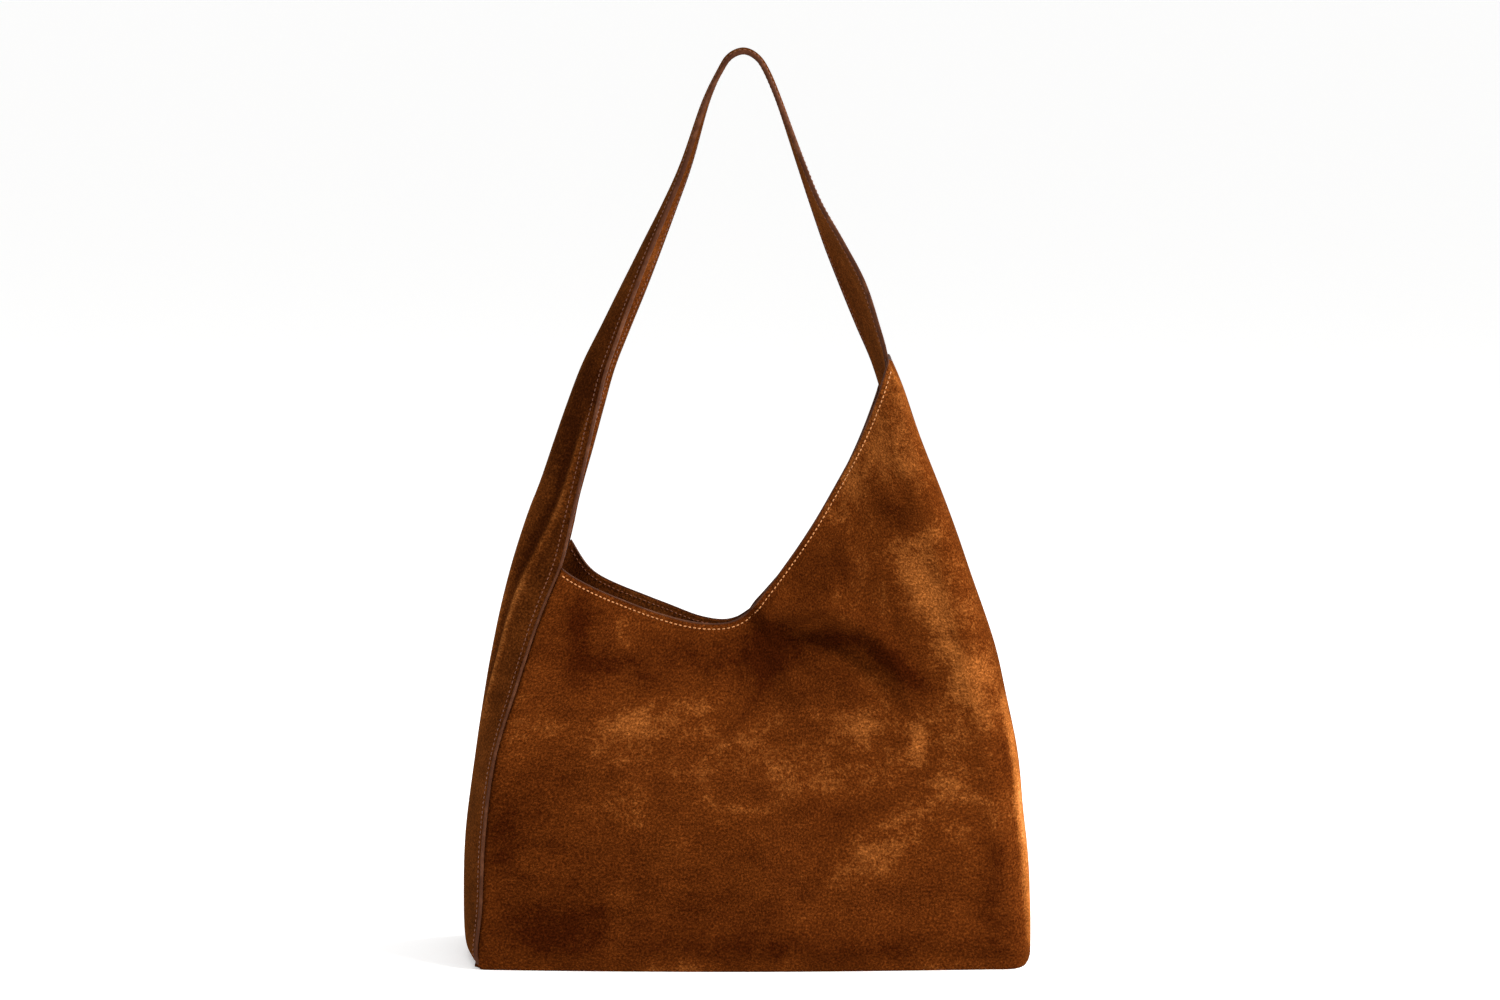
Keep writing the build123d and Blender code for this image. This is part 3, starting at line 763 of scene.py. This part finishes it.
def panel_grid(places, tops):
    """A suede panel, with its lower edge turned under."""
    grid = []
    for column in shell_grid(places, tops, [0.0] * len(places)):
        foot = column[0]
        inward = np.array([-np.sign(foot[0]) * TURN_UNDER, -np.sign(foot[1]) * TURN_UNDER, 0.25])
        grid.append([foot + inward, foot + inward * 0.4] + column)
    return grid


def make_panel(name, columns, side):
    """The front (-1) or back (1) panel. Its edge at the side strip's seam is turned in."""
    grid = panel_grid(PLACES[columns], TOPS[columns])
    seam = grid[0] if side < 0 else grid[-1]
    turned = [[p + np.array([-0.4, -side * depth, 0]) for p in seam] for depth in TURN_IN]
    grid = turned + grid if side < 0 else grid + turned[::-1]
    obj = thick_sheet(name, grid, SUEDE, [suede_front, suede_inside])
    tones = [nap_and_painted_light_at(*p) for column in grid for p in column]
    add_nap_and_painted_light(obj, tones * 2)
    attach(obj, "bag")
    return obj


front_panel = make_panel("front_panel_suede", FRONT, -1)
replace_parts(front_panel, "front_panel")
back_panel = make_panel("back_panel_suede", BACK, 1)
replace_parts(back_panel, "back_panel")


def unit(v):
    return v / np.linalg.norm(v)


def rim_frames():
    """Rim line with, at each point, the way out of the bag and the way up."""
    line = np.array([column_point(p, t) for p, t in zip(PLACES, TOPS)])
    below = np.array([column_point(p, t - 4) for p, t in zip(PLACES, TOPS)])
    along = np.gradient(line, axis=0)
    outward, up = [], []
    for a, p, q in zip(along, line, below):
        n = unit(np.cross(unit(a), unit(p - q)))
        outward.append(n)
        up.append(unit(np.cross(n, unit(a))))
    return line, outward, up


rim_edge = bead("rim_painted_edge", *rim_frames(), SUEDE + FACING + 0.3, 0.6, [edges])
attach(rim_edge, "bag")


def facing(name, columns, node):
    """Suede band inside the rim, deeper at the right fold."""
    places, tops, lows = PLACES[columns], TOPS[columns], []
    for place, top in zip(places, tops):
        near_fold = 1 - smooth_step(abs(place - 1.5) / 1.2)
        lows.append(top - FACING_DEPTH * (1.0 + 0.25 * near_fold))
    grid = shell_grid(places, [t - 0.3 for t in tops], lows, SUEDE + SEWN_GAP, FACING_ROWS)
    obj = thick_sheet(name, grid, FACING, [suede_inside])
    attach(obj, "bag")
    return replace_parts(obj, node)


facing("front_facing_suede", FRONT, "front_facing")
facing("back_facing_suede", BACK, "back_facing")


RIM_SEAM_DROP = 3.6
RIM_SEAM_START = -128.0


def rim_seam(side, inset, face):
    """Stitch line on a panel below its rim. Face 1 is the outer side, and -1 the inner one."""
    rim = RIM_LINE.copy()
    rim[:, 1] = [rim_height(x, side) for x in rim[:, 0]]
    rim = rim[(rim[:, 0] > RIM_SEAM_START) & (rim[:, 1] < PEAK_Z - 2)]
    along = np.gradient(rim, axis=0)
    along /= np.linalg.norm(along, axis=1, keepdims=True)
    low = rim + np.stack([along[:, 1], -along[:, 0]], 1) * RIM_SEAM_DROP
    _, left, left_bulge, _, right, *_ = level(low[:, 1])
    inside = (low[:, 0] > left + left_bulge + BAND + 1.5) & (low[:, 0] < right - 2)
    low = low[inside & (low[:, 1] < PEAK_Z - 7)]
    line = np.array([surface_point(x, z, side, inset) for x, z in low])
    ahead = np.array([surface_point(x + 1, z, side, inset) for x, z in low])
    above = np.array([surface_point(x, z + 1, side, inset) for x, z in low])
    normals = np.cross(ahead - line, above - line) * -side * face
    return line, normals / np.linalg.norm(normals, axis=1, keepdims=True)


inner_face = SUEDE + FACING + SEWN_GAP
outer_seams = [rim_seam(side, 0, 1) for side in (-1, 1)]
inner_seams = [rim_seam(side, inner_face, -1) for side in (-1, 1)]
rim_thread = stitches("rim_topstitching", outer_seams, bright_thread)
inner_thread = stitches("facing_topstitching", inner_seams, dull_thread)
for thread in (rim_thread, inner_thread):
    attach(thread, "bag")

# --- Side strip and strap
# Stations from the floor up the left side, over the top and down to the right: x and z of the
# middle of the outer face, half the distance between the edges, how far the middle stands
# proud of them, twist in degrees (front edge outwards) and thickness.
STRIP = [
    (-195, 0, 54, 8, 0, 2.5), (-201.5, 12, 58.5, 10, 0, 2.5), (-202, 45, 58.5, 14, 0, 2.5),
    (-200, 95, 56, 14.5, 0, 2.5), (-193, 150, 52, 15, 0, 2.5), (-184.5, 200, 49, 22, 0, 2.6),
    (-175.5, 245, 46, 28, 0, 2.7), (-165.5, 285, 44, 33.5, 0, 2.7), (-157, 312, 43, 32, 0, 2.8),
    (-146, 340, 42, 27.5, 0, 2.8), (-136, 369, 41, 25, 1, 2.8), (-126, 397, 40, 22, 2, 2.8),
    (-115, 425, 38.5, 18.5, 3, 2.8), (-101, 453, 37, 15, 4, 2.8), (-87, 481, 36, 12, 5, 2.8),
    (-73, 509, 34.5, 9, 5, 2.8), (-58, 538, 33, 5.5, 4, 2.8), (-45.5, 566, 32, 3.5, 3, 2.8),
    (-31, 608, 30.5, 2, 1, 2.8), (-20, 631, 30, 1.6, 0, 2.8), (-12.5, 641, 30, 1.5, 0, 2.8),
    (-2, 645, 30, 1.5, 0, 2.8), (8, 641, 30, 1.5, 0, 2.8), (15.5, 631, 30, 1.5, 0, 2.8),
    (26, 606, 30, 1.5, 0.5, 2.8), (40.5, 566, 30, 1.5, 3, 2.8), (51, 538, 30, 1.5, 5.5, 2.8),
    (64.5, 509, 30, 1.8, 11.5, 2.8), (77.6, 481, 30, 2, 15, 2.8), (88, 453, 30, 2, 13, 2.8),
    (96.6, 428, 30, 2, 9, 2.8), (101.3, 402, 29.5, 2, 2, 2.8), (105, 382, 29, 2, 0, 2.8),
]
# The dense path: its stations, those left of the top, and the height where they start to lean.
STRIP_COUNT = 300
LEFT_ROWS = 120
STRAIGHT_TOP = 250.0
RIBBON_ROUNDING = 25.0
RIBBON_STEPS = 60
BACKING_SHARE = 0.5


def strip_path():
    """Dense stations, and the way that the strip runs at each: straight up where it is sewn."""
    rows = catmull(STRIP, STRIP_COUNT)
    middle = rows[:, :2]
    along = np.gradient(middle, axis=0)
    along /= np.linalg.norm(along, axis=1, keepdims=True)
    left = np.arange(STRIP_COUNT) < LEFT_ROWS
    tilt = np.where(left, smooth_step((middle[:, 1] - STRAIGHT_TOP) / 95), 1.0)
    upright = np.array([0.0, 1.0])
    direction = along * tilt[:, None] + upright * (1 - tilt[:, None])
    direction /= np.linalg.norm(direction, axis=1, keepdims=True)
    return rows, direction


STRIP_ROWS, STRIP_ALONG = strip_path()


def ribbon_point(index, share, depth=0.0):
    """Point across the strip, depth below its outer face: share -1 is the front edge, 1 the back."""
    x, z, half, proud, twist, _ = STRIP_ROWS[index]
    direction = STRIP_ALONG[index]
    outward = np.array([-direction[1], 0.0, direction[0]])
    r = RIBBON_ROUNDING
    top = math.hypot(half, r) - r
    y = half * share
    rise = -proud * (math.hypot(y, r) - r) / top
    slope = -proud * y / math.hypot(y, r) / top
    normal_y, normal_n = -slope / math.hypot(1, slope), 1 / math.hypot(1, slope)
    y, rise = y - normal_y * depth, rise - normal_n * depth
    tau = math.radians(twist)
    away = rise - y * math.sin(tau)
    return np.array([x, 0.0, z]) + outward * away + np.array([0.0, y * math.cos(tau), 0.0])


def strip_crease(index, share):
    """The bent ridge that runs from the strap's front down to the middle of the side strip."""
    z = STRIP_ROWS[index][1]
    if index > LEFT_ROWS or z > 420 or z < 150:
        return 0.0
    line = -0.39 - (z - 209) * 0.0029 + 0.03 * math.sin(z / 19)
    fade = smooth_step((z - 165) / 40) * smooth_step((408 - z) / 40)
    return fade * (1.7 * hump(share - line, 0.055) - 1.2 * hump(share - line - 0.16, 0.10))


def strip_lift(index, share):
    """How far the strip stands out by its crease and by its slow uneven swell."""
    amount = 1.2 if STRIP_ROWS[index][1] < 330 and index < LEFT_ROWS else 0.45
    edge = 1 - abs(share) ** 4
    uneven = amount * edge * noise.noise(Vector((share * 1.3, index * 0.06, 2.2)))
    return strip_crease(index, share) + uneven


def strip_nap_and_painted_light(index, share):
    """Tone of the strip: a painted highlight on its crease with painted shade beside it, paler along its
    middle, and painted shade up the strap.
    """
    z = STRIP_ROWS[index][1]
    crown = hump(share + 0.1, 0.22) * smooth_step((z - 120) / 80)
    fade = smooth_step((z - 290) / 120)
    # The crease term paints its highlight and the shade beside it, and fade paints shade up the strap.
    return -0.05 + 0.15 * strip_crease(index, share) + 0.13 * crown * (1 - fade) - 0.10 * fade


def ribbon_values(first, value):
    """Columns across the strip of a value at each row and share."""
    shares = [-1 + 2 * k / RIBBON_STEPS for k in range(RIBBON_STEPS + 1)]
    return [[value(i, share) for i in range(first, STRIP_COUNT)] for share in shares]


def ribbon_grid(first, part):
    """Points of the strip at a part of its thickness."""
    def point(i, share):
        return ribbon_point(i, share, part * STRIP_ROWS[i][5] - strip_lift(i, share))

    return ribbon_values(first, point)


def ribbon_layer(name, first, outer_part, inner_part, mats):
    """One closed layer of the strip between two parts of its thickness, from a first row up.

    The first material is on the outer face and the long sides.
    """
    grids = np.array([ribbon_grid(first, part) for part in (outer_part, inner_part)])
    outer, inner = np.arange(grids.size // 3).reshape(grids.shape[:3])
    faces = quads(outer[:-1, :-1], outer[:-1, 1:], outer[1:, 1:], outer[1:, :-1])
    faces += quads(outer[0, :-1], inner[0, :-1], inner[0, 1:], outer[0, 1:])
    faces += quads(outer[-1, :-1], outer[-1, 1:], inner[-1, 1:], inner[-1, :-1])
    first_count = len(faces)
    faces += quads(inner[:-1, :-1], inner[1:, :-1], inner[1:, 1:], inner[:-1, 1:])
    faces += quads(outer[:-1, 0], outer[1:, 0], inner[1:, 0], inner[:-1, 0])
    faces += quads(outer[:-1, -1], inner[:-1, -1], inner[1:, -1], outer[1:, -1])
    face_mats = [0 if k < first_count else 1 for k in range(len(faces))]
    obj = new_object(name, grids.reshape(-1, 3), faces, mats, face_mats, grid_uvs(grids[0]) * 2)
    add_nap_and_painted_light(obj, np.ravel(ribbon_values(first, strip_nap_and_painted_light)).tolist() * 2)
    return obj


BACKING_FIRST = int(np.argmax(STRIP_ROWS[:, 1] > 236))
strip_mats, backing_mats = [suede_strip, suede_inside], [suede_inside, suede_inside]
strap_suede = ribbon_layer("side_strip_and_strap", 0, 0.0, BACKING_SHARE - 0.03, strip_mats)
strap_inner = ribbon_layer("strap_backing_suede", BACKING_FIRST, BACKING_SHARE, 1.0, backing_mats)

EDGE_STEPS = 8
EDGE_LAP = 0.12
EDGE_ROUNDING = 0.75
EDGE_SKIRT = 0.9


def strip_edge(name, side):
    """Painted edge along one side of the strip, from the floor to the strap's sewn end."""
    verts, uvs, run, share = [], [], 0.0, float(side)
    for i in range(STRIP_COUNT):
        a = ribbon_point(i, share, -EDGE_LAP)
        b = ribbon_point(i, share, STRIP_ROWS[i][5] + EDGE_LAP)
        tip = unit(a - ribbon_point(i, share * 0.97, 0.1))
        if i:
            run += np.linalg.norm(STRIP_ROWS[i][:2] - STRIP_ROWS[i - 1][:2])
        for k in range(EDGE_STEPS + 1):
            w = k / EDGE_STEPS
            round_out = EDGE_ROUNDING * math.sin(math.pi * w) ** 0.6
            verts.append(a + (b - a) * w + tip * round_out)
            uvs.append((run * MM, k * 0.5 * MM))
        for w in (0.9, 0.1):
            verts.append(a + (b - a) * w - tip * EDGE_SKIRT)
            uvs.append((run * MM, 4 * MM))
    here, beside, ends = tube_numbers(STRIP_COUNT, EDGE_STEPS + 3)
    corners = [here[:-1], beside[:-1], beside[1:], here[1:]]
    faces = quads(*(corners if side > 0 else corners[::-1])) + ends
    obj = new_object(name, verts, faces, [edges], None, uvs)
    return obj


STRIP_SEAM_INSET = 3.8
STRIP_SEAM_TOP = 432.0


SEAM_END = STRIP_COUNT - int(np.argmax(STRIP_ROWS[::-1, 1] > STRIP_SEAM_TOP))


def strip_seam(side, first, inner=False):
    """Stitch line a little in from one edge of the strip, on its outer or its inner face."""
    line, normals = [], []
    for i in range(first, SEAM_END):
        share = side * (1 - STRIP_SEAM_INSET / STRIP_ROWS[i][2])
        depth = STRIP_ROWS[i][5] if inner else 0.0
        lift = strip_lift(i, share)
        p = ribbon_point(i, share, depth - lift)
        q = ribbon_point(i, share, depth - 1 - lift)
        line.append(p)
        normals.append((q - p) * (-1 if inner else 1))
    return line, normals


strip_runs = [strip_seam(side, 3) for side in (-1, 1)]
inner_runs = [strip_seam(side, BACKING_FIRST, True) for side in (-1, 1)]
strip_thread = stitches("strip_topstitching", strip_runs, dull_thread)
strap_thread = stitches("strap_inner_stitching", inner_runs, dull_thread)
front_edge = strip_edge("strip_front_painted_edge", -1)
back_edge = strip_edge("strip_back_painted_edge", 1)

# The axis that the strap swings about, and the way up square to it.
swing = next(j for j in frame["joints"] if j["name"] == "strap_swing")
axis = Vector(swing["axis"]).normalized()
rise = axis.cross(Vector((0, 1, 0)))
rise = rise if rise.z > 0 else -rise
for piece in (strap_suede, strap_inner, front_edge, back_edge, strip_thread, strap_thread):
    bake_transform(piece)
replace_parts(strap_suede, "side_gusset", "strap_root_left", "strap_outer", "strap_root_right", "strap_core")
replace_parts(strap_inner, "gusset_facing", "strap_backing", "strap_tab")


# --- Lining
def lining_columns():
    """Column places round the whole inside, the side strip's being past 3."""
    front = np.linspace(0.02, 1, 60, endpoint=False)
    fold = np.linspace(1, 2, 20, endpoint=False)
    return [*front, *fold, *np.linspace(2, 2.98, 60), *np.linspace(3.06, 3.94, 24)]


LINING_INSET = SUEDE + FACING + 0.5
LINING_BEHIND_STRIP = 5.0
LINING_FLOOR = 6.0
LINING_STRIP_TOP = 240.0
LINING_ROWS = 60


def lining_point(place, z):
    """Point of the lining, with a slight ripple."""
    ripple = 0.8 * noise.noise(Vector((place * 9, z * 0.03, 4.4)))
    if place <= 2.98:
        return column_point(place, z, LINING_INSET + ripple + 0.4)
    i = int(np.argmin(np.abs(STRIP_ROWS[: STRIP_COUNT // 3, 1] - z)))
    share = 1 - 2 * (place - 3.0)
    x, y, _ = ribbon_point(i, share * 0.96, LINING_BEHIND_STRIP + ripple)
    return np.array([x, y, z])


def lining_grid():
    """The lining from just above the floor to under the facings."""
    grid = []
    for place in lining_columns():
        top = LINING_STRIP_TOP
        if place <= 3:
            top = np.interp(place, PLACES, TOPS) - FACING_DEPTH + 4
        shares = np.linspace(0, 1, LINING_ROWS)
        grid.append([lining_point(place, LINING_FLOOR + (top - LINING_FLOOR) * s) for s in shares])
    return grid


lining = thick_sheet("lining_sack", lining_grid(), CLOTH, [lining_cloth], closed=True)
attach(lining, "bag")
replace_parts(lining, "lining_front", "lining_back", "lining_gusset")


# --- Zipped pocket
def pillow(name, low, high, puff, node):
    """A cloth pocket wall that bellies a little, as a closed thin sheet."""
    columns, rows = 40, 30
    grid = []
    for i in range(columns + 1):
        column = []
        for j in range(rows + 1):
            u, v = i / columns, j / rows
            x = low[0] + (high[0] - low[0]) * u
            z = low[2] + (high[2] - low[2]) * v
            soft = math.sin(math.pi * u) ** 0.6 * math.sin(math.pi * min(v * 0.9 + 0.1, 1)) ** 0.6
            ripple = 0.5 * noise.noise(Vector((x * 0.05, z * 0.06, 9.0)))
            column.append((x, low[1] + (puff * soft + ripple * soft), z))
        grid.append(column)
    obj = thick_sheet(name, grid, CLOTH, [pocket_cloth])
    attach(obj, "bag")
    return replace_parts(obj, node)


for node, puff in (("pocket_front", -1.5), ("pocket_back", 0.4)):
    low, high = (np.array(c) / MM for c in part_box(node))
    if node == "pocket_front":
        low[1] += 0.2
    pillow(f"{node}_cloth", low, high, puff, node)


# --- Finishes on the CAD nodes
FINISHES = {
    "base_board": board_material(),
    "base_lining": woven("floor_cloth", LINING_COLOURS, 900, "OBJECT"),
    "snap_socket": brass, "snap_stud": brass, "snap_washer_front": steel, "snap_washer_back": steel,
    "zip_tape_upper": tape_cloth, "zip_tape_lower": tape_cloth, "zip_teeth_upper": brass,
    "zip_teeth_lower": brass, "zip_slider": brass, "zip_pull": brass, "zip_stops": brass,
}
for node, mat in FINISHES.items():
    node_mats = frame["nodes"][node].data.materials
    node_mats.clear()
    node_mats.append(mat)

BASE_INSET = 2.8
BASE_LIFT = 0.05
BASE_COLUMNS, BASE_ROWS = 60, 24


def base_half_depth(x):
    """Half depth of the base at x, inside the panels' turned edges."""
    _, left, left_bulge, left_half, right, right_bulge, right_half = level(0.0)
    half = wall_depth(x, 0.0) - BASE_INSET
    if x > right - right_bulge:
        power = fold_power(0.0)
        part = min((x - right + right_bulge) / (right_bulge - BASE_INSET), 1.0)
        half = (right_half - BASE_INSET) * (1 - part ** (2 / power)) ** (power / 2)
    elif x < left + left_bulge:
        part = (left + left_bulge - x) / left_bulge
        half = (left_half - BASE_INSET) * math.sqrt(max(1 - part, 0.0))
    return max(half, 1.0)


def base_sheet():
    """Suede base: a flat sheet inside the panels' turned edges."""
    low, high = (np.array(c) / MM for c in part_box("base_panel"))
    _, left, _, _, right, _, _ = level(0.0)
    lowest, highest = left + BASE_INSET + 0.2, right - BASE_INSET - 0.2
    grid = []
    for i in range(BASE_COLUMNS + 1):
        x = min(max(low[0] + (high[0] - low[0]) * (i / BASE_COLUMNS), lowest), highest)
        half = base_half_depth(x)
        ys = [-half + 2 * half * k / BASE_ROWS for k in range(BASE_ROWS + 1)]
        grid.append([(x, y, BASE_LIFT) for y in ys])
    obj = thick_sheet("base_suede", grid, -SUEDE, [suede_plain])
    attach(obj, "bag")
    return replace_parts(obj, "base_panel")


base_sheet()


# --- Floor, light and camera
FLOOR_HALF = 400.0
FLOOR_COLOUR = (0.95, 0.95, 0.945, 1)
FLOOR_GLOW = 0.30
WHITE = (1, 1, 1, 1)
WORLD_STRENGTH = 0.71
WARM = (1.0, 0.97, 0.93)
# Area lights: name, place, target, width and height in metres, watts, colour.
LIGHTS = [
    ("key", (1.7, -1.0, 1.6), (0.0, 0.0, 0.25), (0.8, 0.8), 62, WARM),
    ("edge", (1.9, 0.75, 0.75), (0.1, 0.0, 0.2), (0.5, 1.0), 30, WARM),
    ("top", (-0.3, -0.6, 2.4), (0, 0, 0.2), (1.2, 1.2), 10, WHITE[:3]),
]
LENS = 100.0
CAMERA_TARGET = Vector((0.0025, 0.0, 0.3265))
CAMERA_DISTANCE = 2.95
CAMERA_ELEVATION = math.radians(7.0)


def aim(obj, place, target):
    """Put a light or the camera in its place, looking at its target."""
    obj.location = place
    obj.rotation_euler = (Vector(target) - obj.location).to_track_quat("-Z", "Y").to_euler()
    bpy.context.collection.objects.link(obj)


def make_floor():
    """A wide white floor that glows a little, so that it fades into the white world."""
    mesh = bpy.data.meshes.new("studio_floor")
    corners = [(x * FLOOR_HALF, y * FLOOR_HALF, 0) for x, y in ((-1, -1), (1, -1), (1, 1), (-1, 1))]
    mesh.from_pydata(corners, [], [(0, 1, 2, 3)])
    mat, _, shader = base_material("studio_floor", 0.9, 0.1)
    set_inputs(shader, Base_Color=FLOOR_COLOUR, Emission_Color=WHITE, Emission_Strength=FLOOR_GLOW)
    mesh.materials.append(mat)
    floor = bpy.data.objects.new("studio_floor", mesh)
    bpy.context.collection.objects.link(floor)


def area_light(name, place, target, size, power, colour):
    data = bpy.data.lights.new(name, "AREA")
    data.shape = "RECTANGLE"
    data.size, data.size_y = size
    data.energy = power
    data.color = colour
    aim(bpy.data.objects.new(name, data), place, target)


def make_world():
    """Even white light from all round."""
    world = bpy.data.worlds.new("studio")
    world.use_nodes = True
    background = world.node_tree.nodes["Background"]
    set_inputs(background, Color=WHITE, Strength=WORLD_STRENGTH)
    bpy.context.scene.world = world


def make_camera():
    """The camera stands in front of the bag and looks slightly down."""
    data = bpy.data.cameras.new("camera")
    data.lens = LENS
    camera = bpy.data.objects.new("camera", data)
    back = Vector((0, -math.cos(CAMERA_ELEVATION), math.sin(CAMERA_ELEVATION)))
    aim(camera, CAMERA_TARGET + back * CAMERA_DISTANCE, CAMERA_TARGET)
    bpy.context.scene.camera = camera


make_floor()
make_world()
for light in LIGHTS:
    area_light(*light)
make_camera()
bpy.context.scene.view_settings.view_transform = "Standard"
